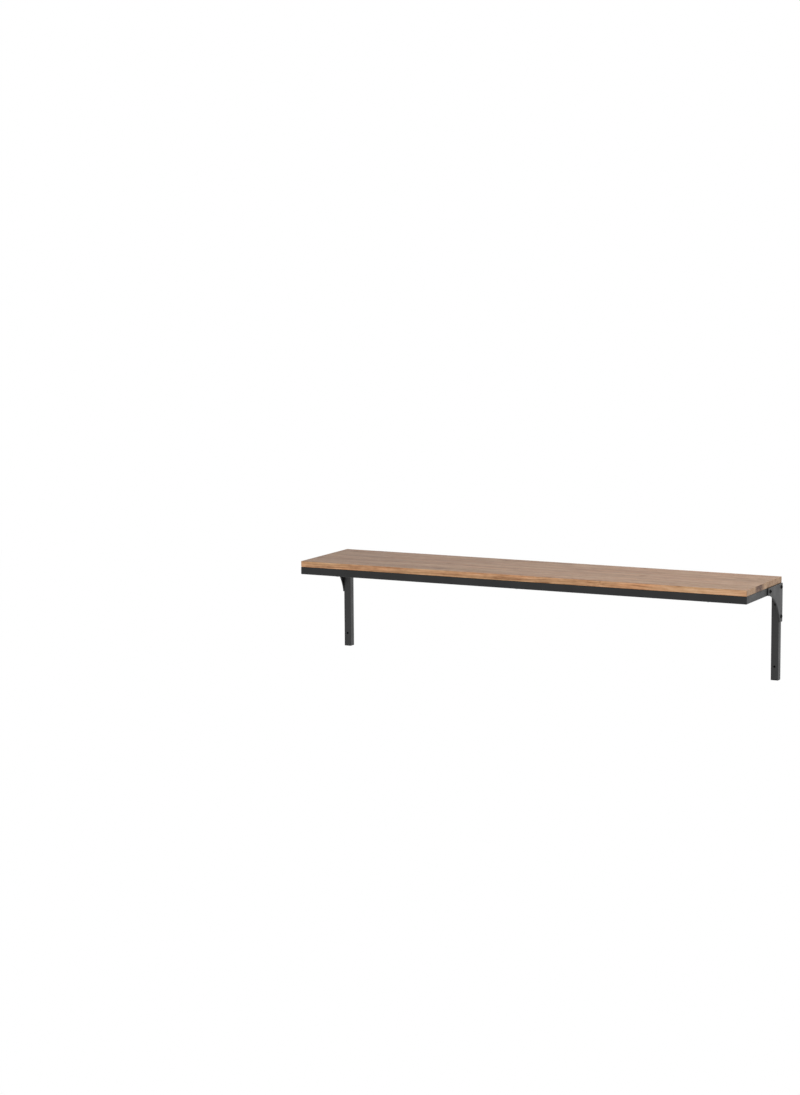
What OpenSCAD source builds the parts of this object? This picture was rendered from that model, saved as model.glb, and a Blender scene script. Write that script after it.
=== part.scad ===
// Wall shelf: a wooden board on a slim welded frame of square tube, carried by
// two square-tube legs that screw to the wall. A curved gusset plate on the
// outer side of each corner ties leg and frame together with three bolts.
// X runs along the shelf, the wall is the plane Y = 0, the shelf reaches out to
// negative Y, and the origin is the middle of the four wall-fixing holes.

/* [Board] */
// Length of the shelf board, side to side
board_l = 1200; // [600:10:1500]
// Depth of the shelf board, from the wall to its front edge
board_d = 250; // [200:5:400]
// Thickness of the shelf board
board_t = 15; // [12:1:30]

/* [Frame] */
// Outer width of the square tube of the rails and legs
tube_w = 19; // [15:0.5:30]
// Wall thickness of the square tube
tube_wall = 1.5; // [1:0.1:2.5]
// Outer corner radius of the square tube
tube_r = 1.5; // [0.5:0.1:3]
// Height from the board's underside down to the foot of a leg
leg_drop = 240; // [180:5:400]

/* [Gussets] */
// Thickness of a gusset plate
gusset_t = 3; // [2:0.5:5]
// Reach of a gusset from the wall along the side rail
gusset_reach = 105; // [80:1:130]
// Drop of a gusset from the board's underside down the leg
gusset_drop = 96; // [80:1:120]
// Radius of a gusset's hollow edge
gusset_arc_r = 96; // [85:1:150]
// Straight stretch at each end of the hollow edge
gusset_land = 5; // [4:0.5:8]
// Corner radius of a gusset's tabs
gusset_corner_r = 3; // [1:0.5:4]
// Distance of a bolt from the end of a gusset's tab
bolt_inset = 14; // [10:0.5:16]

/* [Bolts] */
// Thread diameter of the gusset bolts
bolt_d = 6; // [4:1:6]
// Length of a bolt under its head
bolt_l = 12; // [8:1:13]
// Diameter of a bolt's domed head
bolt_head_d = 10.5; // [8:0.5:12]
// Height of a bolt's domed head
bolt_head_h = 3.3; // [2.5:0.1:4]
// Width across the flats of a bolt's hexagon socket
socket_af = 4; // [2.5:0.5:4]
// Depth of a bolt's hexagon socket
socket_depth = 2; // [1:0.1:2.4]

/* [Rivet nuts] */
// Wall of a rivet nut round its thread
nut_wall = 1.5; // [1:0.1:2]
// Length of a rivet nut
nut_l = 12; // [8:0.5:13]
// How far a rivet nut's set collar stands out round its body
nut_collar = 1.2; // [0.8:0.1:1.5]
// Length of a rivet nut's set collar
nut_collar_l = 3; // [2:0.5:4]

/* [Wall fixings] */
// Diameter of the wall-fixing holes through a leg
fixing_d = 5.5; // [4:0.5:8]
// Height of the lower fixing hole above the foot of a leg
fixing_low = 34; // [20:1:60]
// Distance of the upper fixing hole below the side rail
fixing_top = 33; // [10:1:48]

/* [Leg plugs] */
// Thickness of a leg plug's cap
plug_cap_t = 2; // [1:0.5:4]
// Depth of a leg plug's sleeve inside the tube
plug_depth = 12; // [8:1:15]
// Wall thickness of a leg plug's sleeve
plug_wall = 1.6; // [1:0.1:2.5]
// Number of gripping ribs round a leg plug's sleeve
plug_ribs = 3; // [1:1:4]

/* [Board screws] */
// Diameter of the screws that hold the board
screw_d = 4; // [3:0.5:5]
// Depth that a board screw bites into the board
screw_bite = 10; // [6:1:11]
// Head diameter of a board screw
screw_head_d = 8; // [6:0.5:10]
// Head height of a board screw
screw_head_h = 2.4; // [1.5:0.1:3]
// Distance of the outer board screws from the board's ends
screw_inset = 100; // [40:5:200]
// Distance of the side rails' board screws from the wall
side_screw_y = 160; // [145:1:170]

/* [Clearances] */
// Radial clearance of a bolt in its gusset hole, and of a board screw in its rail
slip = 0.25; // [0.1:0.05:0.5]
// Radial clearance modelled between a thread and its nut or pilot hole
thread_gap = 0.05; // [0.03:0.01:0.1]
// Clearance all round a rivet nut in its tube wall
nut_gap = 0.05; // [0.03:0.01:0.1]
// Clearance all round a leg plug's ribs in its tube
plug_gap = 0.05; // [0.03:0.01:0.2]

/* [Hidden] */
$fn = 64;
arc_fn = 180;                        // segments of a gusset's hollow edge
eps = 0.5;                           // overshoot of a cut past the face that it opens
left = -1;
right = 1;

wood_colour = "#a98d78";
coat_colour = "#3a3a3b";
bolt_colour = "#1d1d1e";
zinc_colour = "#b9bcc0";
plug_colour = "#161616";

half_l = board_l / 2;
half_tube = tube_w / 2;
inner_w = tube_w - 2 * tube_wall;

// heights, counted from the middle of the wall fixings
leg_tube_l = leg_drop - tube_w;      // from the side rail's underside to the foot
fixing_pitch_z = leg_tube_l - fixing_low - fixing_top;
foot_z = -fixing_pitch_z / 2 - fixing_low;
board_z = foot_z + leg_drop;         // the board's underside and the rails' top
rail_z = board_z - tube_w;           // the rails' underside and the legs' top
rail_mid_z = board_z - half_tube;
fixing_x = half_l - half_tube;
fixing_heights = [-fixing_pitch_z / 2, fixing_pitch_z / 2];

// gusset bolts as [Y, Z]
front_place = [-(gusset_reach - bolt_inset), rail_mid_z];
rear_place = [-half_tube, rail_mid_z];
lower_place = [-half_tube, board_z - gusset_drop + bolt_inset];
bolt_hole_d = bolt_d + 2 * slip;
bolt_dome_r = (pow(bolt_head_d / 2, 2) + pow(bolt_head_h, 2)) / (2 * bolt_head_h);
bolt_tip = bolt_d / 8;               // chamfer at the bolt's end

nut_d = bolt_d + 2 * thread_gap + 2 * nut_wall;
nut_hole_d = nut_d + 2 * nut_gap;

// board screws as [X, Y]
screw_x = half_l - screw_inset;
front_row_y = -(board_d - half_tube);
rear_row_y = -half_tube;
screw_hole_d = screw_d + 2 * slip;
screw_point = screw_d;               // length of the screw's point
screw_dome_r = (pow(screw_head_d / 2, 2) + pow(screw_head_h, 2)) / (2 * screw_head_h);
drive_w = screw_d * 0.75;            // arms of the cross drive
drive_t = screw_d / 5;

sleeve_w = inner_w - 2 * plug_gap;   // over the ribs
rib_h = 0.5;                         // how far a rib stands out from the sleeve
rib_l = 1;

// The centre of the circle of radius r through a and b that lies on the left of a to b
function arc_centre(a, b, r) =
    let (d = b - a, half = norm(d) / 2, n = [-d[1], d[0]] / norm(d))
    (a + b) / 2 + n * sqrt(r * r - half * half);

module on_side(side) {
    if (side == left) mirror([1, 0, 0]) children();
    else children();
}

// A rectangle from the origin with round corners
module round_rect(w, h, r) {
    translate([r, 0]) square([w - 2 * r, h]);
    translate([0, r]) square([w, h - 2 * r]);
    for (x = [r, w - r], y = [r, h - r])
        translate([x, y]) circle(r = r);
}

module tube_outline() {
    difference() {
        translate([-half_tube, -half_tube]) round_rect(tube_w, tube_w, tube_r);
        square(inner_w, center = true);
    }
}

// A square tube along +X from the origin, its middle on the axis
module tube(l) {
    rotate([90, 0, 90]) linear_extrude(l) tube_outline();
}

// A tube of length l along X, its outer face on the -Y side, both ends mitred
module mitred_rail(l) {
    intersection() {
        translate([-l / 2, half_tube, rail_mid_z]) tube(l);
        translate([0, 0, rail_z - eps])
            linear_extrude(tube_w + 2 * eps)
                polygon([[-l / 2, 0], [l / 2, 0], [l / 2 - tube_w, tube_w], [tube_w - l / 2, tube_w]]);
    }
}

// Puts its children at [Y, Z] on the outer face of the right leg and side rail, outwards = +Z
module at_corner(place) {
    translate([half_l, place[0], place[1]]) rotate([0, 90, 0]) children();
}

module nut_hole(place) {
    at_corner(place)
        translate([0, 0, -tube_wall - eps])
            cylinder(h = tube_wall + 2 * eps, d = nut_hole_d);
}

// Hole for a board screw, through both walls of a rail
module screw_hole(x, y) {
    translate([x, y, rail_z - eps]) cylinder(h = tube_w + 2 * eps, d = screw_hole_d);
}

module shelf_board() {
    color(wood_colour)
        difference() {
            translate([-half_l, -board_d, board_z]) cube([board_l, board_d, board_t]);
            for (x = [-screw_x, 0, screw_x], y = [front_row_y, rear_row_y])
                pilot_hole(x, y);
            for (x = [-fixing_x, fixing_x])
                pilot_hole(x, -side_screw_y);
        }
}

module pilot_hole(x, y) {
    translate([x, y, board_z - eps])
        cylinder(h = screw_bite + thread_gap + eps, d = screw_d + 2 * thread_gap);
}

module front_rail() {
    color(coat_colour)
        difference() {
            translate([0, -board_d, 0]) mitred_rail(board_l);
            for (x = [-screw_x, 0, screw_x]) screw_hole(x, front_row_y);
        }
}

module rear_rail() {
    color(coat_colour)
        difference() {
            rotate([0, 0, 180]) mitred_rail(board_l);
            for (x = [-screw_x, 0, screw_x]) screw_hole(x, rear_row_y);
        }
}

module side_rail(side) {
    color(coat_colour)
        on_side(side)
            difference() {
                translate([half_l, -board_d / 2, 0]) rotate([0, 0, 90]) mitred_rail(board_d);
                screw_hole(fixing_x, -side_screw_y);
                nut_hole(front_place);
                nut_hole(rear_place);
            }
}

module leg(side) {
    color(coat_colour)
        on_side(side)
            difference() {
                translate([fixing_x, -half_tube, foot_z + plug_cap_t])
                    linear_extrude(leg_tube_l - plug_cap_t) tube_outline();
                nut_hole(lower_place);
                for (z = fixing_heights)
                    translate([fixing_x, eps, z])
                        rotate([90, 0, 0]) cylinder(h = tube_w + 2 * eps, d = fixing_d);
            }
}

// Outline of a gusset as [Y, Z below the board]: two tabs and the web behind the hollow edge
module gusset_outline() {
    front_end = [-(gusset_reach - gusset_land), -tube_w];
    lower_end = [-tube_w, -(gusset_drop - gusset_land)];
    translate([-gusset_reach, -tube_w]) round_rect(gusset_reach, tube_w, gusset_corner_r);
    translate([-tube_w, -gusset_drop]) round_rect(tube_w, gusset_drop, gusset_corner_r);
    difference() {
        translate([front_end[0], lower_end[1]])
            square([-front_end[0] - half_tube, -lower_end[1] - half_tube]);
        translate(arc_centre(lower_end, front_end, gusset_arc_r))
            circle(r = gusset_arc_r, $fn = arc_fn);
    }
}

module gusset(side) {
    color(coat_colour)
        on_side(side)
            difference() {
                translate([half_l, 0, board_z])
                    rotate([90, 0, 90]) linear_extrude(gusset_t) gusset_outline();
                for (place = [front_place, rear_place, lower_place])
                    at_corner(place)
                        translate([0, 0, -eps]) cylinder(h = gusset_t + 2 * eps, d = bolt_hole_d);
            }
}

// Button-head bolt, its head resting on the gusset's outer face
module gusset_bolt(side, place) {
    color(bolt_colour)
        on_side(side) at_corner(place) translate([0, 0, gusset_t])
            difference() {
                union() {
                    intersection() {
                        cylinder(h = bolt_head_h, d = bolt_head_d);
                        translate([0, 0, bolt_head_h - bolt_dome_r]) sphere(r = bolt_dome_r);
                    }
                    translate([0, 0, bolt_tip - bolt_l]) cylinder(h = bolt_l - bolt_tip, d = bolt_d);
                    translate([0, 0, -bolt_l])
                        cylinder(h = bolt_tip, d1 = bolt_d - 2 * bolt_tip, d2 = bolt_d);
                }
                translate([0, 0, bolt_head_h - socket_depth])
                    cylinder(h = socket_depth + eps, d = socket_af / cos(30), $fn = 6);
            }
}

// Threaded rivet nut, set in the tube wall behind the gusset
module rivet_nut(side, place) {
    color(zinc_colour)
        on_side(side) at_corner(place)
            difference() {
                union() {
                    translate([0, 0, -nut_l]) cylinder(h = nut_l, d = nut_d);
                    translate([0, 0, -tube_wall - nut_collar_l])
                        cylinder(h = nut_collar_l, d = nut_d + 2 * nut_collar);
                }
                translate([0, 0, -nut_l - eps])
                    cylinder(h = nut_l + 2 * eps, d = bolt_d + 2 * thread_gap);
            }
}

// Plastic plug in the foot of a leg: a cap, and a ribbed sleeve inside the tube
module leg_plug(side) {
    sleeve_bottom = foot_z + plug_cap_t;
    rib_pitch = plug_depth / (plug_ribs + 1);
    color(plug_colour)
        on_side(side) translate([fixing_x, -half_tube, 0]) {
            translate([0, 0, foot_z])
                linear_extrude(plug_cap_t)
                    translate([-half_tube, -half_tube]) round_rect(tube_w, tube_w, tube_r);
            difference() {
                union() {
                    translate([0, 0, sleeve_bottom])
                        linear_extrude(plug_depth) square(sleeve_w - 2 * rib_h, center = true);
                    for (i = [1 : plug_ribs])
                        translate([0, 0, sleeve_bottom + i * rib_pitch - rib_l / 2])
                            linear_extrude(rib_l) square(sleeve_w, center = true);
                }
                translate([0, 0, sleeve_bottom])
                    linear_extrude(plug_depth + eps)
                        square(sleeve_w - 2 * rib_h - 2 * plug_wall, center = true);
            }
        }
}

// Wood screw from below, through a rail into the board
module board_screw(x, y) {
    shank_l = tube_w + screw_bite - screw_point;
    color(zinc_colour)
        translate([x, y, rail_z])
            difference() {
                union() {
                    cylinder(h = shank_l, d = screw_d);
                    translate([0, 0, shank_l]) cylinder(h = screw_point, d1 = screw_d, d2 = screw_d / 8);
                    intersection() {
                        translate([0, 0, -screw_head_h]) cylinder(h = screw_head_h, d = screw_head_d);
                        translate([0, 0, screw_dome_r - screw_head_h]) sphere(r = screw_dome_r);
                    }
                }
                for (turn = [0, 90])
                    translate([0, 0, -screw_head_h]) rotate([0, 0, turn])
                        cube([drive_w, drive_t, screw_head_h], center = true);
            }
}

shelf_board();
front_rail();
rear_rail();
side_rail(left);  // left_side_rail
side_rail(right);  // right_side_rail
leg(left);  // left_leg
leg(right);  // right_leg
gusset(left);  // left_gusset
gusset(right);  // right_gusset
gusset_bolt(left, front_place);  // left_front_bolt
gusset_bolt(left, rear_place);  // left_rear_bolt
gusset_bolt(left, lower_place);  // left_lower_bolt
gusset_bolt(right, front_place);  // right_front_bolt
gusset_bolt(right, rear_place);  // right_rear_bolt
gusset_bolt(right, lower_place);  // right_lower_bolt
rivet_nut(left, front_place);  // left_front_rivet_nut
rivet_nut(left, rear_place);  // left_rear_rivet_nut
rivet_nut(left, lower_place);  // left_lower_rivet_nut
rivet_nut(right, front_place);  // right_front_rivet_nut
rivet_nut(right, rear_place);  // right_rear_rivet_nut
rivet_nut(right, lower_place);  // right_lower_rivet_nut
leg_plug(left);  // left_leg_plug
leg_plug(right);  // right_leg_plug
board_screw(-screw_x, front_row_y);  // front_left_board_screw
board_screw(0, front_row_y);  // front_middle_board_screw
board_screw(screw_x, front_row_y);  // front_right_board_screw
board_screw(-screw_x, rear_row_y);  // rear_left_board_screw
board_screw(0, rear_row_y);  // rear_middle_board_screw
board_screw(screw_x, rear_row_y);  // rear_right_board_screw
board_screw(-fixing_x, -side_screw_y);  // left_side_board_screw
board_screw(fixing_x, -side_screw_y);  // right_side_board_screw
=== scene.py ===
import math

import bmesh
import bpy
import numpy as np
from mathutils import Matrix, Vector


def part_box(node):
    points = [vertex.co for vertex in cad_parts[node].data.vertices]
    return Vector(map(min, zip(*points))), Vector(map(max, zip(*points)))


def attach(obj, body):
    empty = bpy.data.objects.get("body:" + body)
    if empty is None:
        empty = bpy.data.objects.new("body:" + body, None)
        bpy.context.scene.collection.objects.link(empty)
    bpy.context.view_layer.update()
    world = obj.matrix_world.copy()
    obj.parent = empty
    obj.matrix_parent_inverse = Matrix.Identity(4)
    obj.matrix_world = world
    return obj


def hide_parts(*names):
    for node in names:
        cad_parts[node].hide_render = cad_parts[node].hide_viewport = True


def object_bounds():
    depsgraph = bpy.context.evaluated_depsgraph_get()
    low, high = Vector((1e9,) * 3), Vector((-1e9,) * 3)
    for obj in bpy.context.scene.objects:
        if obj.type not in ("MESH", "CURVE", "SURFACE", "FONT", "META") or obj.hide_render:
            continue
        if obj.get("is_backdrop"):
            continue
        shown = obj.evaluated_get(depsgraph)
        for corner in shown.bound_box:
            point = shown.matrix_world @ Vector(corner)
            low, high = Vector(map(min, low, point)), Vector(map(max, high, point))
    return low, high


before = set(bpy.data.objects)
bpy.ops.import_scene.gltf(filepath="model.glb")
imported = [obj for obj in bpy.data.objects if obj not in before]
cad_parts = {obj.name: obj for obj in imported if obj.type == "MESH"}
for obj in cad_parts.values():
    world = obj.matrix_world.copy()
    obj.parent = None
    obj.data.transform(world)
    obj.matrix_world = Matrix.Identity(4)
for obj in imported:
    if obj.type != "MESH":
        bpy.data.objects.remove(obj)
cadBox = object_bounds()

print("frame loaded:", len(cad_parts), "nodes")
mm = 0.001
quarterTurn = math.pi / 2
sides = {"left": -1, "right": 1}      # the sign of x on each side
boardLow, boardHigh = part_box("shelf_board")
frontRailLow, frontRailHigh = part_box("front_rail")
legLow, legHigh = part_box("right_leg")
tubeWidth = legHigh.x - legLow.x


# In the node helpers below, a value that is a socket is linked, and any other is set on the socket itself.

def put(tree, kind, values=None, **settings):
    node = tree.nodes.new("ShaderNode" + kind)
    for key, value in settings.items():
        setattr(node, key, value)
    for key, value in (values or {}).items():
        socket = node.inputs[key]
        if isinstance(value, bpy.types.NodeSocket):
            tree.links.new(value, socket)
        else:
            socket.default_value = value
    return node


def calc(tree, operation, a, b=0.0, c=0.0):
    return put(tree, "Math", {0: a, 1: b, 2: c}, operation=operation).outputs[0]


def weightedSum(tree, parts):
    # each value times its share, added up in the order given
    total = None
    for value, share in parts:
        part = calc(tree, "MULTIPLY", value, share)
        total = part if total is None else calc(tree, "ADD", total, part)
    return total


def ramp(tree, value, low, high, toLow=0.0, toHigh=1.0):
    # goes smoothly from toLow to toHigh while the value goes from low to high
    node = put(tree, "MapRange", {"Value": value, "From Min": low, "From Max": high,
                                  "To Min": toLow, "To Max": toHigh}, interpolation_type="SMOOTHSTEP")
    return node.outputs["Result"]


def mixColor(tree, factor, first, second, mode="MIX"):
    node = put(tree, "Mix", data_type="RGBA", blend_type=mode)
    for index, value in ((0, factor), (6, first), (7, second)):      # the colour mix's own sockets
        if isinstance(value, bpy.types.NodeSocket):
            tree.links.new(value, node.inputs[index])
        else:
            node.inputs[index].default_value = value if index == 0 else (*value, 1.0)
    return node.outputs[2]


def colorSteps(tree, value, places, colors):
    node = put(tree, "ValToRGB", {"Fac": value})
    stops = node.color_ramp.elements
    while len(stops) < len(places):
        stops.new(0.5)
    for stop, place, color in zip(stops, places, colors):
        stop.position = place
        stop.color = (*color, 1.0)
    return node.outputs["Color"]


def flatDistance(tree, a, b):
    # root of a squared plus b squared
    both = put(tree, "CombineXYZ", {0: a, 1: b, 2: 0.0}).outputs[0]
    return put(tree, "VectorMath", {0: both}, operation="LENGTH").outputs["Value"]


def noise(tree, vector, scale=1.0, detail=3.0, roughness=0.5, distortion=0.0):
    node = put(tree, "TexNoise", {"Vector": vector, "Scale": scale, "Detail": detail,
                                  "Roughness": roughness, "Distortion": distortion})
    return node.outputs[0]


def grainNoise(tree, x, y, z, seed, scales, detail, roughness, distortion=0.0):
    # noise on x, y and z, each times its own scale and moved by the plank's seed
    moved = [calc(tree, "MULTIPLY_ADD", part, scale, seed) for part, scale in zip((x, y, z), scales)]
    vector = put(tree, "CombineXYZ", {0: moved[0], 1: moved[1], 2: moved[2]}).outputs[0]
    return noise(tree, vector, 1.0, detail, roughness, distortion)


def bumped(tree, shader, height, strength, distance):
    node = put(tree, "Bump", {"Height": height, "Strength": strength, "Distance": distance})
    tree.links.new(node.outputs[0], shader.inputs["Normal"])


def newMaterial(name, metallic=0.0, specular=0.5):
    material = bpy.data.materials.new(name)
    material.use_nodes = True
    shader = material.node_tree.nodes["Principled BSDF"]
    shader.inputs["Metallic"].default_value = metallic
    shader.inputs["Specular IOR Level"].default_value = specular
    return material, material.node_tree, shader


# Oiled wood: planks glued side by side, greyer on top and warmer on the edges and underneath.

woodLook = {
    "plankWidth": 62.5 * mm,
    "seedSpread": 37.0,       # how far apart two planks' patterns start
    "specular": 0.30,
    "roughness": (0.48, 0.66),
    "brush": (0.35, 0.25 * mm),      # strength and depth of the brushed grain's bump
    "ridgeShare": 0.6,        # how much the streaks stand up in it, and how much the pores sink
    "poreSink": 0.5,
    "streakRange": (0.3, 0.7),
    "knotStreaks": (0.72, 1.0),      # how much of a knot's tint shows, from low streaks to high
    "endBand": (0.9 * mm, 0.3 * mm),      # the end grain fades in between these distances from an end
    # colours from dark to light, and the tones they stand at
    "topColors": ((0.138, 0.072, 0.038), (0.283, 0.172, 0.108), (0.415, 0.276, 0.188)),
    "edgeColors": ((0.250, 0.112, 0.046), (0.508, 0.276, 0.140), (0.680, 0.420, 0.250)),
    "endColors": ((0.125, 0.064, 0.032), (0.270, 0.168, 0.098), (0.385, 0.265, 0.165)),
    "sideStops": (0.25, 0.5, 0.78),
    "endStops": (0.3, 0.52, 0.75),
    # a slow drift of hue, from greenish over none to reddish
    "castColors": ((0.97, 1.01, 0.98), (1.0, 1.0, 1.0), (1.06, 0.965, 0.90)),
    "castStops": (0.36, 0.5, 0.66),
    "castSeed": 11.0,
    "paintedLeftShade": (-0.55, -0.12, 0.87),      # from x, to x, tone: painted shade that darkens the top towards its left end
    # noises drawn out along the shelf: scales along x, y and z, detail, roughness and distortion
    "grains": {
        "slow": ((2.4, 34, 34), 3.0, 0.55),
        "wander": ((1.6, 13, 13), 2.0, 0.5),
        "figure": ((17, 95, 95), 3.0, 0.6, 0.6),
        "streaks": ((9, 430, 430), 4.0, 0.6),
        "fibres": ((24, 1500, 1500), 2.0, 0.6),
        "mottle": ((48, 120, 120), 3.0, 0.65),
        "pores": ((42, 1700, 1700), 2.0, 0.5),
    },
    "castGrain": ((5.5, 75, 75), 3.0, 0.6),
    # how much each one, the growth lines and the plank's own shade count for in the tone
    "toneShares": {"slow": 0.62, "streaks": 0.42, "figure": 0.36, "lines": 0.055, "plank": 0.05,
                   "fibres": 0.26, "mottle": 0.34},
    "toneShift": 0.515,
    "edgeFigure": 0.10,       # extra figure on the edges
    "lineRates": (130.0, 210.0, 14.0),     # growth lines per metre of y and of z, and how far they wander
    "poreRange": (0.60, 0.70),
    "poreTint": 0.45,
    "knotColor": (0.125, 0.055, 0.026),
    "knotTint": 0.82,
    # knots: place along the shelf, place across it, size
    "knots": [(-0.24, -0.132, 0.0065), (0.29, -0.128, 0.0075), (-0.23, -0.224, 0.0055),
              (0.52, -0.075, 0.0060), (-0.13, -0.024, 0.0065), (0.21, -0.2455, 0.0034),
              (0.245, -0.012, 0.0060)],
    "knotStretch": 0.45,      # a knot's width over its length
    "knotCore": (0.30, 1.15),              # its dark core fades out between these shares of its size
    "knotRings": (20.0, 0.14, 0.86),       # ring rate, depth of the rings and mean
    "knotPush": (0.5, 4.2, 0.85),          # the push on the grain fades between these shares, from this much
    # end grain: ring rate, how far noise bends the rings, scales of its noises and the shares of its tone
    "ringRate": 2350.0,
    "ringBend": 9.0,
    "endScales": {"bend": 130.0, "specks": 900.0, "blotch": 55.0},
    "heartAbove": 0.05,       # how far above the plank's middle, or below it, its rings have their centre
    "heartSpread": 0.05,      # and how far sideways that varies from plank to plank
    "endShares": {"rings": 0.055, "specks": 0.40, "blotch": 0.55, "plank": 0.10},
    # a dark knotty patch in the end grain: place across the shelf, half its width, share of that at full
    # strength; the blotch noise then takes it from weak to strong between two values
    "patch": (-0.162, 0.037, 0.4),
    "patchBlotch": (0.36, 0.56, 0.42, 0.96),
    "patchColor": (0.056, 0.023, 0.013),
}


def woodKnots(tree, look, x, y):
    # a knot's distance is the length of (stretch times dx, dy); its mask fades out with that distance and
    # carries rings, the sine of the distance times a rate; the grain's y is pushed towards the knot's own
    mask, push = 0.0, 0.0
    coreFrom, coreTo = look["knotCore"]
    ringRate, ringDepth, ringMean = look["knotRings"]
    pushFrom, pushTo, pushMost = look["knotPush"]
    for knotX, knotY, size in look["knots"]:
        dx = calc(tree, "MULTIPLY", calc(tree, "SUBTRACT", x, knotX), look["knotStretch"])
        dy = calc(tree, "SUBTRACT", y, knotY)
        distance = flatDistance(tree, dx, dy)
        core = ramp(tree, distance, size * coreFrom, size * coreTo, 1.0, 0.0)
        ring = calc(tree, "SINE", calc(tree, "MULTIPLY", distance, ringRate / size))
        core = calc(tree, "MULTIPLY", core, calc(tree, "MULTIPLY_ADD", ring, ringDepth, ringMean))
        mask = calc(tree, "MAXIMUM", mask, core)
        pull = ramp(tree, distance, size * pushFrom, size * pushTo, pushMost, 0.0)
        held = calc(tree, "MULTIPLY", dy, pull)
        push = calc(tree, "ADD", push, held)
    return mask, calc(tree, "SUBTRACT", y, push)


def growthLines(tree, look, y, z, wander):
    # sine of a full turn times (y times a rate, plus z times a rate, plus a slow noise)
    fullTurn = 6.283
    yRate, zRate, bend = look["lineRates"]
    slant = calc(tree, "ADD", calc(tree, "MULTIPLY", y, yRate), calc(tree, "MULTIPLY", z, zRate))
    place = calc(tree, "ADD", slant, calc(tree, "MULTIPLY", wander, bend))
    return calc(tree, "SINE", calc(tree, "MULTIPLY", place, fullTurn))


def endGrain(tree, look, place, y, z, row, rowRandom):
    # rings are the sine of (distance from the plank's heart times a rate, plus noise); the heart is
    # above one plank and below the next
    rowMiddle = calc(tree, "MULTIPLY", calc(tree, "ADD", row, 0.5), look["plankWidth"])
    shift = calc(tree, "MULTIPLY", calc(tree, "SUBTRACT", rowRandom, 0.5), look["heartSpread"])
    ringY = calc(tree, "SUBTRACT", y, calc(tree, "ADD", rowMiddle, shift))
    turned = calc(tree, "MULTIPLY", calc(tree, "MODULO", row, 2.0), -2 * look["heartAbove"])
    heartZ = calc(tree, "SUBTRACT", turned, look["heartAbove"])
    ringZ = calc(tree, "SUBTRACT", calc(tree, "SUBTRACT", z, (boardLow.z + boardHigh.z) / 2), heartZ)
    distance = flatDistance(tree, ringY, ringZ)
    scales = look["endScales"]
    bend = calc(tree, "MULTIPLY", noise(tree, place, scales["bend"], 3.0), look["ringBend"])
    turns = calc(tree, "ADD", calc(tree, "MULTIPLY", distance, look["ringRate"]), bend)
    values = {
        "rings": calc(tree, "SINE", turns),
        "specks": noise(tree, place, scales["specks"], 2.0, 0.6),
        "blotch": noise(tree, place, scales["blotch"], 2.0, 0.6),
        "plank": rowRandom,
    }
    tone = weightedSum(tree, [(values[name], share) for name, share in look["endShares"].items()])
    color = colorSteps(tree, tone, look["endStops"], look["endColors"])
    patchY, patchHalf, fullShare = look["patch"]
    away = calc(tree, "ABSOLUTE", calc(tree, "SUBTRACT", y, patchY))
    patch = ramp(tree, away, patchHalf * fullShare, patchHalf, 1.0, 0.0)
    patch = calc(tree, "MULTIPLY", patch, ramp(tree, values["blotch"], *look["patchBlotch"]))
    return mixColor(tree, patch, color, look["patchColor"])


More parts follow.
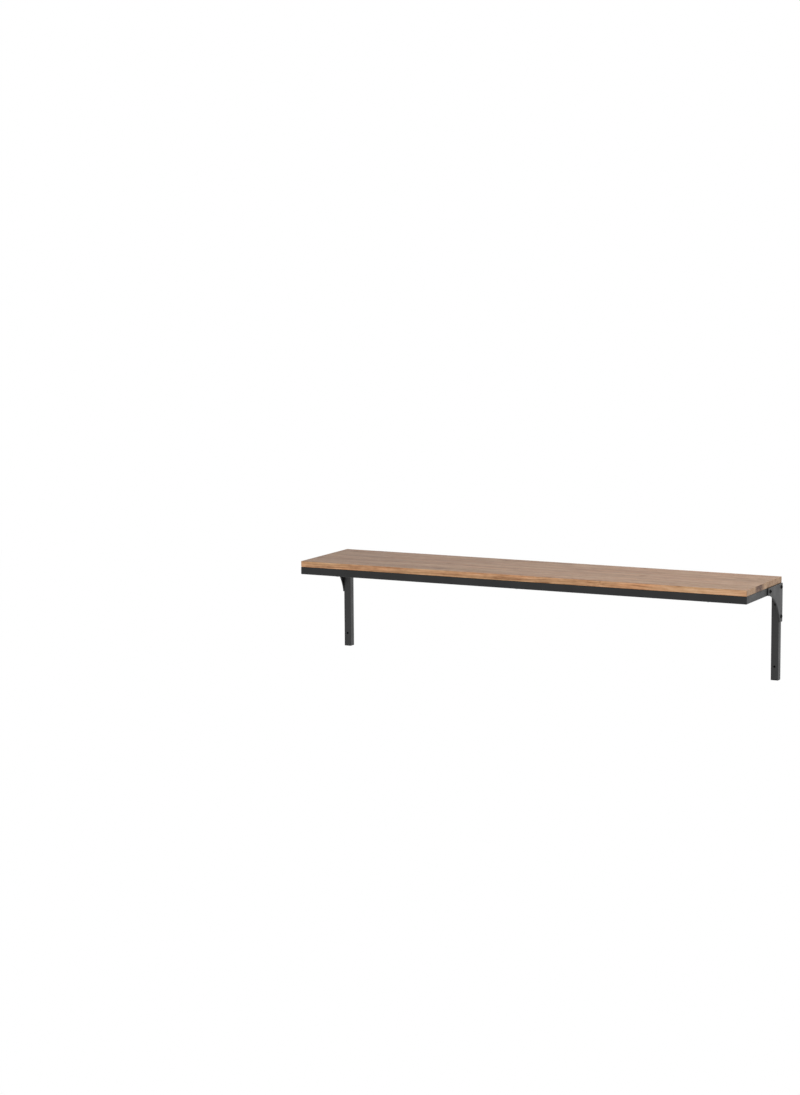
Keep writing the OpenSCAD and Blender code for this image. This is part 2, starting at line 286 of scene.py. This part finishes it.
def makeWood():
    look = woodLook
    material, tree, shader = newMaterial("oiledWood", specular=look["specular"])
    place = put(tree, "TexCoord").outputs["Object"]
    x, y, z = put(tree, "SeparateXYZ", {0: place}).outputs
    # which plank a point is in: y over the plank's width, rounded down, held just inside the board
    inside = calc(tree, "MINIMUM", calc(tree, "MAXIMUM", y, boardLow.y + 0.2 * mm), -0.2 * mm)
    row = calc(tree, "FLOOR", calc(tree, "DIVIDE", inside, look["plankWidth"]))
    rowRandom = put(tree, "TexWhiteNoise", {"W": row}, noise_dimensions="1D").outputs["Value"]
    seed = calc(tree, "MULTIPLY", rowRandom, look["seedSpread"])
    knotMask, grainY = woodKnots(tree, look, x, y)
    values = {name: grainNoise(tree, x, grainY, z, seed, *grain) for name, grain in look["grains"].items()}
    values["lines"] = growthLines(tree, look, grainY, z, values["wander"])
    values["plank"] = rowRandom
    poreMask = ramp(tree, values["pores"], *look["poreRange"])
    tone = weightedSum(tree, [(values[name], share) for name, share in look["toneShares"].items()])
    tone = calc(tree, "SUBTRACT", tone, look["toneShift"])
    topTone = colorSteps(tree, tone, look["sideStops"], look["topColors"])
    figured = calc(tree, "MULTIPLY", calc(tree, "SUBTRACT", values["figure"], 0.5), look["edgeFigure"])
    edgeTone = colorSteps(tree, calc(tree, "ADD", tone, figured), look["sideStops"], look["edgeColors"])
    # the top, with painted shade darkening its left end, over the long edges and the underside
    leftFrom, leftTo, paintedLeftShade = look["paintedLeftShade"]
    # painted shade: the top's colour is multiplied darker towards its left end
    shade = ramp(tree, x, leftFrom, leftTo, paintedLeftShade, 1.0)
    paintedShadeColor = put(tree, "CombineColor", {0: shade, 1: shade, 2: shade}).outputs[0]
    topMask = put(tree, "Attribute", attribute_name="topness").outputs["Fac"]
    color = mixColor(tree, topMask, edgeTone, mixColor(tree, 1.0, topTone, paintedShadeColor, "MULTIPLY"))
    castSeed = calc(tree, "ADD", seed, look["castSeed"])
    drift = grainNoise(tree, x, y, z, castSeed, *look["castGrain"])
    cast = colorSteps(tree, drift, look["castStops"], look["castColors"])
    color = mixColor(tree, 1.0, color, cast, "MULTIPLY")
    # the ends, then pores and knots over all of it
    bandFrom, bandTo = look["endBand"]
    endMask = ramp(tree, calc(tree, "ABSOLUTE", x), boardHigh.x - bandFrom, boardHigh.x - bandTo)
    color = mixColor(tree, endMask, color, endGrain(tree, look, place, y, z, row, rowRandom))
    darkEnd = look["endColors"][0]
    color = mixColor(tree, calc(tree, "MULTIPLY", poreMask, look["poreTint"]), color, darkEnd)
    streaked = ramp(tree, values["streaks"], *look["streakRange"], *look["knotStreaks"])
    knotGrain = calc(tree, "MULTIPLY", knotMask, streaked)
    color = mixColor(tree, calc(tree, "MULTIPLY", knotGrain, look["knotTint"]), color, look["knotColor"])
    tree.links.new(color, shader.inputs["Base Color"])
    rough = ramp(tree, values["streaks"], *look["streakRange"], *look["roughness"])
    tree.links.new(rough, shader.inputs["Roughness"])
    ridges = calc(tree, "MULTIPLY", values["streaks"], look["ridgeShare"])
    sunk = calc(tree, "MULTIPLY", poreMask, look["poreSink"])
    bumped(tree, shader, calc(tree, "SUBTRACT", ridges, sunk), *look["brush"])
    return material


# Coats of metal and plastic: two clouded tones, a range of roughness and a fine grain.

coatLook = {"base": (0.0050, 0.0052, 0.0056), "light": (0.016, 0.0165, 0.017), "roughness": (0.36, 0.50),
            "specular": 0.53, "ior": 1.5, "grainScale": 820.0, "bump": 0.55}
# the rails' coat is a darker, less glossy copy of the same powder coat: painted shade for the rails under the
# board
paintedShadeRailLook = {**coatLook, "base": (0.0040, 0.0042, 0.0045), "specular": 0.38}
boltLook = {"base": (0.0022, 0.0022, 0.0024), "light": (0.005, 0.005, 0.005), "roughness": (0.30, 0.42),
            "specular": 0.30, "ior": 1.22, "grainScale": 2600.0, "bump": 0.05}
zincLook = {"base": (0.50, 0.51, 0.53), "light": (0.66, 0.66, 0.67), "roughness": (0.24, 0.40),
            "specular": 0.5, "ior": 1.5, "grainScale": 2200.0, "bump": 0.05}
plugLook = {"base": (0.006, 0.006, 0.006), "light": (0.012, 0.012, 0.012), "roughness": (0.50, 0.62),
            "specular": 0.35, "ior": 1.5, "grainScale": 1600.0, "bump": 0.30}
coatClouds = {"scale": 22.0, "colorRange": (0.3, 0.75, 0.0, 0.5), "roughRange": (0.3, 0.7),
              "grainRoughness": 0.05, "grainDepth": 0.16 * mm}


def makeCoat(name, look, metallic=0.0):
    material, tree, shader = newMaterial(name, metallic, look["specular"])
    shader.inputs["IOR"].default_value = look["ior"]
    place = put(tree, "TexCoord").outputs["Object"]
    cloud = noise(tree, place, coatClouds["scale"], 3.0, 0.55)
    grain = noise(tree, place, look["grainScale"], 2.0, 0.5)
    lightness = ramp(tree, cloud, *coatClouds["colorRange"])
    tree.links.new(mixColor(tree, lightness, look["base"], look["light"]), shader.inputs["Base Color"])
    clouded = ramp(tree, cloud, *coatClouds["roughRange"], *look["roughness"])
    rough = calc(tree, "ADD", clouded, calc(tree, "MULTIPLY", grain, coatClouds["grainRoughness"]))
    tree.links.new(rough, shader.inputs["Roughness"])
    bumped(tree, shader, grain, look["bump"], coatClouds["grainDepth"])
    return material


woodMaterial = makeWood()
coatMaterial = makeCoat("satinPowderCoat", coatLook)
paintedShadeRailMaterial = makeCoat("railPowderCoatPaintedShade", paintedShadeRailLook)
boltMaterial = makeCoat("blackOxide", boltLook)
zincMaterial = makeCoat("brightZinc", zincLook, metallic=1.0)
plugMaterial = makeCoat("mouldedPlastic", plugLook)
print("materials made")


def makeObject(name, mesh, material, replaced, smoothAngle):
    # smoothAngle, in degrees: an edge with a wider angle between its faces stays sharp
    piece = bpy.data.objects.new(name, mesh)
    bpy.context.scene.collection.objects.link(piece)
    mesh.materials.clear()
    mesh.materials.append(material)
    mesh.polygons.foreach_set("use_smooth", np.ones(len(mesh.polygons), bool))
    mesh.set_sharp_from_angle(angle=math.radians(smoothAngle))
    mesh.update()
    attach(piece, "root")
    if replaced:
        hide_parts(*replaced)
    return piece


def ringMesh(name, rings, firstPole=None, lastPole=None):
    # rings is an array (ring, place round, xyz); neighbouring rings are joined by quads,
    # and each end closes with a fan to its pole, or with one flat face where it has none
    count, around = rings.shape[:2]
    index = np.arange(count * around).reshape(count, around)
    after = np.roll(index, -1, axis=1)
    quads = np.stack([index[:-1], after[:-1], after[1:], index[1:]], axis=-1).reshape(-1, 4)
    points = [rings.reshape(-1, 3)]
    faces = quads.tolist()
    for pole, ring, flip in ((firstPole, 0, True), (lastPole, count - 1, False)):
        if pole is None:
            face = index[ring].tolist()
            faces.append(face[::-1] if flip else face)
            continue
        poleIndex = sum(len(group) for group in points)
        points.append(np.array([pole], float))
        fan = np.stack([index[ring], after[ring], np.full(around, poleIndex)], axis=-1)
        faces += (fan[:, ::-1] if flip else fan).tolist()
    mesh = bpy.data.meshes.new(name)
    mesh.from_pydata(np.concatenate(points).tolist(), [], faces)
    mesh.validate()
    work = bmesh.new()
    work.from_mesh(mesh)
    bmesh.ops.recalc_face_normals(work, faces=work.faces)      # outwards
    work.to_mesh(mesh)
    work.free()
    return mesh


def latticeNoise(u, v, seed):
    # smooth value noise: random values at whole numbers, blended between with 3t^2 - 2t^3
    size = 256
    table = np.random.default_rng(seed).random((size, size))
    iu, iv = np.floor(u).astype(int), np.floor(v).astype(int)
    fu, fv = u - iu, v - iv
    fu, fv = fu * fu * (3 - 2 * fu), fv * fv * (3 - 2 * fv)
    corner = lambda a, b: table[(iu + a) % size, (iv + b) % size]
    low = corner(0, 0) * (1 - fu) + corner(1, 0) * fu
    high = corner(0, 1) * (1 - fu) + corner(1, 1) * fu
    return low * (1 - fv) + high * fv


# Shelf board: a rounded rectangle carried along the shelf, its faces brushed along the grain.

boardSizes = {
    "ease": 1.1 * mm,        # radius of the eased arrises
    "endEase": 0.8 * mm,     # how far the end faces' arrises come in
    "arcSteps": 5,
    "acrossStep": 1.55 * mm,
    "alongStep": 6.5 * mm,
    "relief": 0.16 * mm,     # depth of the brushed grain
    "arrisRelief": 0.4,      # share of that depth on an arris
    "reliefShares": (0.65, 0.35, 0.7, 0.3),      # coarse and fine streaks, then both squared and the swell
    "smoothAngle": 40,
    "wear": 0.5 * mm,        # extra easing where an arris is knocked
    "knockFrom": 0.66,       # the noise above this knocks an arris
    # the noises: cells per metre along and across, where they start along and across, seed
    "streaks": (11, 260, 90, 7, 3),
    "fineStreaks": (34, 610, 50, 0, 5),
    "swell": (5, 22, 30, 0, 8),
    "knocks": (26, 3, 11, 0, 13),
    "topBand": 0.8 * mm,     # the top's colour begins this far below the top
    "topFade": 0.5 * mm,
}


def roundedOutline(width, height, radius, step, arcSteps):
    # points round a rectangle centred on 0, with quarter circles at its corners, and outward directions
    arc = np.linspace(0, quarterTurn, arcSteps + 1)
    points, directions = [], []
    corners = [(1, -1, -quarterTurn), (1, 1, 0.0), (-1, 1, quarterTurn), (-1, -1, math.pi)]
    for place, (sx, sy, start) in enumerate(corners):
        centre = np.array([sx * (width / 2 - radius), sy * (height / 2 - radius)])
        normal = np.stack([np.cos(arc + start), np.sin(arc + start)], axis=1)
        points.append(centre + radius * normal)
        directions.append(normal)
        nextX, nextY = corners[(place + 1) % 4][:2]
        nextCentre = np.array([nextX * (width / 2 - radius), nextY * (height / 2 - radius)])
        goal = nextCentre + radius * normal[-1]
        steps = max(2, round(np.linalg.norm(goal - points[-1][-1]) / step))
        share = np.linspace(0, 1, steps + 1)[1:-1, None]
        points.append(points[-1][-1] * (1 - share) + goal * share)
        directions.append(np.repeat(normal[-1:], len(share), axis=0))
    return np.concatenate(points), np.concatenate(directions)


def boardNoise(x, across, setting):
    cellsAlong, cellsAcross, startAlong, startAcross, seed = setting
    return latticeNoise(x * cellsAlong + startAlong, across * cellsAcross + startAcross, seed)


def makeBoard():
    sizes = boardSizes
    ease = sizes["ease"]
    length, depth, thick = boardHigh - boardLow
    middle = (boardLow + boardHigh) / 2
    outline, normal = roundedOutline(depth, thick, ease, sizes["acrossStep"], sizes["arcSteps"])
    # stations along the shelf: a quarter circle of stations eases each end
    bend = np.linspace(0, quarterTurn, sizes["arcSteps"] + 1)
    inner = length / 2 - ease
    straight = np.linspace(-inner, inner, round(2 * inner / sizes["alongStep"]))
    startX = -length / 2 + ease * (1 - np.cos(bend))[:-1]
    startIn = sizes["endEase"] * (1 - np.sin(bend))[:-1]
    stationX = np.concatenate([startX, straight, -startX[::-1]])
    inset = np.concatenate([startIn, np.zeros(len(straight)), startIn[::-1]])
    # relief: streaks a few millimetres wide and a hand long, only ever cut inwards
    x = stationX[:, None] + middle.x
    across = np.cumsum(np.linalg.norm(np.diff(outline, axis=0, prepend=outline[:1]), axis=1))[None, :]
    coarseShare, fineShare, streakShare, swellShare = sizes["reliefShares"]
    streak = boardNoise(x, across, sizes["streaks"]) * coarseShare
    streak = streak + boardNoise(x, across, sizes["fineStreaks"]) * fineShare
    brushed = streakShare * streak ** 2 + swellShare * boardNoise(x, across, sizes["swell"])
    flat = (np.abs(normal).max(axis=1) > 0.999)[None, :]
    cut = sizes["relief"] * brushed * np.where(flat, 1.0, sizes["arrisRelief"])
    # knocked arrises: a little more is taken off the corners here and there
    corner = 1 - np.abs(np.abs(normal[:, 0]) - np.abs(normal[:, 1]))[None, :]
    knockFrom = sizes["knockFrom"]
    knock = np.clip(boardNoise(x, across, sizes["knocks"]) - knockFrom, 0, 1) / (1 - knockFrom)
    cut = cut + sizes["wear"] * corner * knock * (1 - flat)
    fade = np.clip((length / 2 - np.abs(stationX)) / ease, 0, 1)[:, None]
    offset = inset[:, None] + cut * fade
    rings = np.empty((len(stationX), len(outline), 3))
    rings[..., 0] = x
    rings[..., 1] = middle.y + outline[None, :, 0] - normal[None, :, 0] * offset
    rings[..., 2] = middle.z + outline[None, :, 1] - normal[None, :, 1] * offset
    mesh = ringMesh("shelfBoard", rings)
    # topness is 1 on the top face and 0 from just below it, for the wood's colour
    spots = np.empty(len(mesh.vertices) * 3)
    mesh.vertices.foreach_get("co", spots)
    height = spots.reshape(-1, 3)[:, 2]
    topness = np.clip((height - (boardHigh.z - sizes["topBand"])) / sizes["topFade"], 0, 1)
    layer = mesh.attributes.new("topness", "FLOAT", "POINT")
    layer.data.foreach_set("value", topness.astype(np.float32))
    makeObject("shelfBoard", mesh, woodMaterial, ["shelf_board"], sizes["smoothAngle"])


makeBoard()
print("board made")


# Bolts and screws: each is one closed surface of turned rings, from the drive recess to the tip.

boltSizes = {"headRadius": 5.25 * mm, "headHeight": 3.3 * mm, "shankRadius": 3.0 * mm, "recess": "hex",
             "recessSize": 2.0 * mm, "recessCore": 0.0, "recessDepth": 2.0 * mm, "rimRound": 0.35 * mm,
             "length": 12 * mm, "pitch": 1.0 * mm, "threadDepth": 0.45 * mm, "plain": 3.2 * mm,
             "tip": 0.75 * mm, "tipRadius": 1.9 * mm}
screwSizes = {"headRadius": 4.0 * mm, "headHeight": 2.4 * mm, "shankRadius": 2.0 * mm, "recess": "cross",
              "recessSize": 1.5 * mm, "recessCore": 0.4 * mm, "recessDepth": 1.2 * mm, "rimRound": 0.3 * mm,
              "length": 29 * mm, "pitch": 1.8 * mm, "threadDepth": 0.6 * mm, "plain": 12 * mm,
              "tip": 4 * mm, "tipRadius": 0.25 * mm}
fastenerFinish = {
    "around": 72,
    "ringsPerPitch": 8,
    "domeRings": 12,
    "rimRings": 6,
    "tipRings": 5,
    "floorShares": (0.55, 0.96),      # rings on the recess's floor, as shares of its outline
    "rimShare": 0.98,            # of the rim's rounding
    "coreShare": 1.3,            # a cross's hollow corners over half its arm's width
    "chamfer": 0.12 * mm,        # round the recess
    "floorRound": 0.1 * mm,      # where the recess's wall meets its floor
    "floorDip": 0.15 * mm,       # the middle of that floor is this much deeper
    "neck": 0.5 * mm,            # flat ring under the head
    "threadTop": 0.15 * mm,
    "smoothAngle": 28,
}


def recessRadius(angle, kind, size, coreSize):
    # hexagon: half its width over the cosine of the angle from the nearest flat's middle
    if kind == "hex":
        return size / np.cos(np.mod(angle, math.pi / 3) - math.pi / 6)
    # cross: the nearer of an arm's end and an arm's side, but never inside the core
    turn = np.abs(np.mod(angle + math.pi / 4, quarterTurn) - math.pi / 4)
    arm = np.minimum(size / np.cos(turn), coreSize / np.maximum(np.sin(turn), 1e-6))
    return np.maximum(arm, coreSize * fastenerFinish["coreShare"])


def fastenerRings(sizes):
    # rows are (radius as a function of the angle, height); the head's outside is a sphere through its rim
    finish = fastenerFinish
    around, chamfer = finish["around"], finish["chamfer"]
    angle = np.linspace(0, 2 * math.pi, around, endpoint=False)
    circle = np.ones(around)
    headRadius, headHeight, rimRound = sizes["headRadius"], sizes["headHeight"], sizes["rimRound"]
    domeRadius = (headRadius ** 2 + headHeight ** 2) / (2 * headHeight)
    dome = lambda r: headHeight - domeRadius + np.sqrt(domeRadius ** 2 - r ** 2)
    recess = recessRadius(angle, sizes["recess"], sizes["recessSize"], sizes["recessCore"])
    recessFloor = headHeight - sizes["recessDepth"]
    rows = [(recess * share, recessFloor) for share in finish["floorShares"]]
    rows.append((recess, recessFloor + finish["floorRound"]))
    rows.append((recess, dome(recess) - chamfer))
    rows.append((recess + chamfer, dome(recess + chamfer)))
    rim = headRadius - rimRound
    for share in np.linspace(0, 1, finish["domeRings"])[1:]:
        radius = (recess + chamfer) * (1 - share) + rim * share
        rows.append((radius, dome(radius)))
    rimHeight = float(dome(rim))
    for bend in np.linspace(0, quarterTurn, finish["rimRings"])[1:]:
        radius = rim + rimRound * np.sin(bend) * finish["rimShare"]
        rows.append((circle * radius, rimHeight * np.cos(bend)))
    shankRadius, length = sizes["shankRadius"], sizes["length"]
    rows.append((circle * (shankRadius + finish["neck"]), 0.0))
    # thread: the radius follows a triangle wave of height over pitch minus the turn
    pitch, threadDepth, tip = sizes["pitch"], sizes["threadDepth"], sizes["tip"]
    steps = round(length / pitch * finish["ringsPerPitch"])
    for height in np.linspace(-finish["threadTop"], -length + tip, steps):
        wave = np.abs(2 * np.mod(-height / pitch + angle / (2 * math.pi), 1.0) - 1)
        started = np.clip((-height - sizes["plain"]) / pitch, 0, 1)
        rows.append((shankRadius - threadDepth * wave * started, height))
    for share in np.linspace(0, 1, finish["tipRings"])[1:]:
        radius = (shankRadius - threadDepth) * (1 - share) + sizes["tipRadius"] * share
        rows.append((circle * radius, -length + tip * (1 - share)))
    rings = np.empty((len(rows), around, 3))
    for place, (radius, height) in enumerate(rows):
        rings[place, :, 0] = radius * np.cos(angle)
        rings[place, :, 1] = radius * np.sin(angle)
        rings[place, :, 2] = height
    return rings, recessFloor - finish["floorDip"]


def placeFastener(node, sizes, seat, axis, turn, material):
    # the rings are turned about their own axis, pointed along the given one and moved to the seat
    rings, recessFloor = fastenerRings(sizes)
    base = Matrix.Translation(seat) @ Vector(axis).to_track_quat("Z", "Y").to_matrix().to_4x4()
    matrix = np.array(base @ Matrix.Rotation(turn, 4, "Z"))
    move = lambda points: points @ matrix[:3, :3].T + matrix[:3, 3]
    first = move(np.array([0, 0, recessFloor]))
    last = move(np.array([0, 0, -sizes["length"]]))
    mesh = ringMesh(node + "Detail", move(rings), first, last)
    makeObject(node + "_detail", mesh, material, [node], fastenerFinish["smoothAngle"])


def makeFasteners():
    # each of the six bolts and eight screws is turned by its own random angle
    turns = iter(np.random.default_rng(21).uniform(0, math.pi, 14))
    for side, sign in sides.items():
        gussetLow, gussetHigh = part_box(side + "_gusset")
        face = gussetHigh.x if sign > 0 else gussetLow.x
        for place in ("front", "rear", "lower"):
            node = f"{side}_{place}_bolt"
            low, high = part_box(node)
            middle = (low + high) / 2
            seat = Vector((face, middle.y, middle.z))
            placeFastener(node, boltSizes, seat, (sign, 0, 0), next(turns), boltMaterial)
    for node in sorted(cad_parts):
        if node.endswith("board_screw"):
            low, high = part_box(node)
            middle = (low + high) / 2
            seat = Vector((middle.x, middle.y, frontRailLow.z))
            placeFastener(node, screwSizes, seat, (0, 0, -1), next(turns), zincMaterial)


makeFasteners()
print("fasteners made")


# Tubes, gussets and plugs: each is a merged copy of the CAD mesh with its sharp edges eased.

metalSizes = {
    "railEase": 0.22 * mm,
    "legEase": 0.22 * mm,
    "gussetEase": 0.4 * mm,
    "plugEase": 0.3 * mm,
    "mergeWithin": 0.002 * mm,
    # angles in degrees: faces this close to flat are joined, and edges from this sharp are eased
    "flatWithin": 0.6,
    "easedFrom": 40,
    "smoothAngle": 35,
}


def easedCopy(node, name, material, ease, segments=2):
    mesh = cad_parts[node].data.copy()
    mesh.name = name
    work = bmesh.new()
    work.from_mesh(mesh)
    bmesh.ops.remove_doubles(work, verts=work.verts, dist=metalSizes["mergeWithin"])
    flatAngle = math.radians(metalSizes["flatWithin"])
    bmesh.ops.dissolve_limit(work, angle_limit=flatAngle, verts=work.verts, edges=work.edges)
    bmesh.ops.recalc_face_normals(work, faces=work.faces)
    work.to_mesh(mesh)
    work.free()
    if mesh.has_custom_normals:
        mesh.attributes.remove(mesh.attributes["custom_normal"])
    piece = makeObject(name, mesh, material, [node], metalSizes["smoothAngle"])
    bevel = piece.modifiers.new("ease", "BEVEL")
    bevel.width = ease
    bevel.segments = segments
    bevel.limit_method = "ANGLE"
    bevel.angle_limit = math.radians(metalSizes["easedFrom"])
    bevel.use_clamp_overlap = False
    weighted = piece.modifiers.new("flatFaces", "WEIGHTED_NORMAL")
    weighted.keep_sharp = False


def makeMetal():
    sizes = metalSizes
    # the rails take the darker copy of the coat, painted shade under the board
    for node in ("front_rail", "rear_rail", "left_side_rail", "right_side_rail"):
        easedCopy(node, node + "_tube", paintedShadeRailMaterial, sizes["railEase"])
    for side in sides:
        leg, gusset, plug = side + "_leg", side + "_gusset", side + "_leg_plug"
        easedCopy(leg, side + "_leg_tube", coatMaterial, sizes["legEase"])
        easedCopy(gusset, side + "_gusset_plate", coatMaterial, sizes["gussetEase"], 3)
        easedCopy(plug, side + "_plug", plugMaterial, sizes["plugEase"])
    # the rivet nuts keep their CAD shape
    for name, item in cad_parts.items():
        if name.endswith("rivet_nut"):
            for slot in item.material_slots:
                slot.material = zincMaterial


makeMetal()
print("metal made")


# Welds: a rippled bead carried up each inner corner of the frame and under each front mitre.

weldSizes = {
    "radius": 1.7 * mm,
    "ripple": 1.9 * mm,       # distance from one ripple to the next
    "rippleDepth": 0.14,
    "underRadius": 1.5 * mm,
    "underHeight": 0.5 * mm,
    "topGap": 0.4 * mm,       # an inner bead stops this far under the board
    "footGap": 0.6 * mm,
    "outerInset": 1.6 * mm,   # the bead under a mitre starts this far inside the outer corner
    "innerInset": 1.2 * mm,
    "sink": 0.1 * mm,         # and its middle lies this far inside the tube's wall
    "around": 20,
    "ringsPerRipple": 9,
    "fewestRings": 24,
    "endPower": 16,           # the higher, the blunter a bead's ends
    "unevenness": 0.05,
    "smoothAngle": 50,
}


def beadMesh(start, end, up, side, radius, height):
    # an oval profile carried from start to end; its size is a mean plus the size of a sine along the path,
    # times a taper, the root of one less a high power of the distance from the middle, times a little noise
    sizes = weldSizes
    pitch, depth = sizes["ripple"], sizes["rippleDepth"]
    length = (end - start).length
    steps = max(sizes["fewestRings"], round(length / pitch * sizes["ringsPerRipple"]))
    share = np.linspace(0, 1, steps)
    distance = share * length
    ripple = (1 - depth) + depth * np.abs(np.sin(math.pi * distance / pitch))
    taper = np.sqrt(np.clip(1 - np.abs(2 * share - 1) ** sizes["endPower"], 0.0, 1))
    size = (ripple * taper)[:, None]
    angle = np.linspace(0, 2 * math.pi, sizes["around"], endpoint=False)[None, :]
    uneven = latticeNoise(distance[:, None] / pitch * 2.2, np.cos(angle) * 2 + 5, 4)
    swell = 1 + sizes["unevenness"] * uneven
    along = np.array((end - start) / length)
    path = np.array(start)[None, :] + distance[:, None] * along
    rings = (path[:, None, :] + (radius * size * swell * np.cos(angle))[..., None] * np.array(side)
             + (height * size * swell * np.sin(angle))[..., None] * np.array(up))
    return ringMesh("bead", rings[1:-1], path[0], path[-1])


def makeWelds():
    sizes = weldSizes
    lowZ, highZ = frontRailLow.z + sizes["footGap"], frontRailHigh.z - sizes["topGap"]
    underZ = frontRailLow.z + sizes["sink"]
    innerX, innerY = boardHigh.x - tubeWidth, boardLow.y + tubeWidth
    outerInset, innerInset = sizes["outerInset"], sizes["innerInset"]
    for side, sign in sides.items():
        for place, y in (("front", innerY), ("rear", -tubeWidth)):
            foot, head = Vector((sign * innerX, y, lowZ)), Vector((sign * innerX, y, highZ))
            # the beads take the rails' darker coat with its painted shade
            mesh = beadMesh(foot, head, (0, 1, 0), (1, 0, 0), sizes["radius"], sizes["radius"])
            makeObject(f"{side}_{place}_weld", mesh, paintedShadeRailMaterial, [], sizes["smoothAngle"])
        outer = Vector((sign * (boardHigh.x - outerInset), boardLow.y + outerInset, underZ))
        inner = Vector((sign * (innerX + innerInset), innerY - innerInset, underZ))
        across = Vector((sign, 1, 0)).normalized()
        mesh = beadMesh(outer, inner, (0, 0, 1), across, sizes["underRadius"], sizes["underHeight"])
        makeObject(f"{side}_mitre_weld", mesh, paintedShadeRailMaterial, [], sizes["smoothAngle"])


makeWelds()
print("welds made")


# Studio: a pale floor, a white surround and two soft lamps.

stageLook = {"floorHeight": -10.0, "floorSize": 60.0, "floorColor": 0.80, "floorGlow": 0.20, "surround": 1.0}
lights = {
    "overhead": {"place": (1.3, 0.1, 1.1), "target": (0.45, -0.12, 0.14), "size": 0.9, "power": 9},
    "rightSide": {"place": (3.2, -1.2, 0.9), "target": (0.4, -0.1, 0.05), "size": 1.6, "power": 4},
}
# left, down and roll are in radians, and left is measured from the shelf's own front view
cameraSetup = {"place": (2.7341, -6.2364, 1.1136), "left": 0.47122, "down": 0.13592, "roll": -0.00656,
               "lens": 89.015, "sensorWidth": 36.0, "farClip": 200.0}


def makeStage():
    size = stageLook["floorSize"]
    mesh = bpy.data.meshes.new("floor")
    corners = [(-size, -size, 0), (size, -size, 0), (size, size, 0), (-size, size, 0)]
    mesh.from_pydata(corners, [], [(0, 1, 2, 3)])
    mesh.transform(Matrix.Translation((0, 0, stageLook["floorHeight"])))
    floor = bpy.data.objects.new("floor", mesh)
    bpy.context.scene.collection.objects.link(floor)
    material, _, shader = newMaterial("paleFloor", specular=0.0)
    shader.inputs["Base Color"].default_value = (stageLook["floorColor"],) * 3 + (1,)
    shader.inputs["Roughness"].default_value = 1.0
    shader.inputs["Emission Color"].default_value = (1, 1, 1, 1)
    shader.inputs["Emission Strength"].default_value = stageLook["floorGlow"]
    mesh.materials.append(material)
    floor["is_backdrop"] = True
    world = bpy.data.worlds.new("studio")
    bpy.context.scene.world = world
    world.use_nodes = True
    sky = world.node_tree.nodes["Background"]
    sky.inputs["Color"].default_value = (1, 1, 1, 1)
    sky.inputs["Strength"].default_value = stageLook["surround"]


def makeLights():
    for name, light in lights.items():
        lamp = bpy.data.lights.new(name, "AREA")
        lamp.shape = "SQUARE"
        lamp.size = light["size"]
        lamp.energy = light["power"]
        item = bpy.data.objects.new(name, lamp)
        place, target = Vector(light["place"]), Vector(light["target"])
        item.location = place
        item.rotation_mode = "QUATERNION"
        item.rotation_quaternion = (target - place).to_track_quat("-Z", "Y")
        bpy.context.scene.collection.objects.link(item)


def makeCamera():
    # heading: turned left from +Y, tipped down, then rolled about the view axis
    setup = cameraSetup
    left, down, roll = setup["left"], setup["down"], setup["roll"]
    forward = Vector((-math.sin(left) * math.cos(down), math.cos(left) * math.cos(down), -math.sin(down)))
    level = Vector((math.cos(left), math.sin(left), 0))
    upright = level.cross(forward)
    right = level * math.cos(roll) + upright * math.sin(roll)
    up = upright * math.cos(roll) - level * math.sin(roll)
    data = bpy.data.cameras.new("camera")
    data.lens = setup["lens"]
    data.sensor_width = setup["sensorWidth"]
    data.clip_end = setup["farClip"]
    camera = bpy.data.objects.new("camera", data)
    turn = Matrix((right, up, -forward)).transposed().to_4x4()
    camera.matrix_world = Matrix.Translation(setup["place"]) @ turn
    bpy.context.scene.collection.objects.link(camera)
    bpy.context.scene.camera = camera


makeStage()
makeLights()
makeCamera()
bpy.context.scene.view_settings.view_transform = "Standard"
print("stage made")

sizeRecord = {"cad": [list(corner) for corner in cadBox], "visual": [list(corner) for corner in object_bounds()]}
print("sizes", sizeRecord)
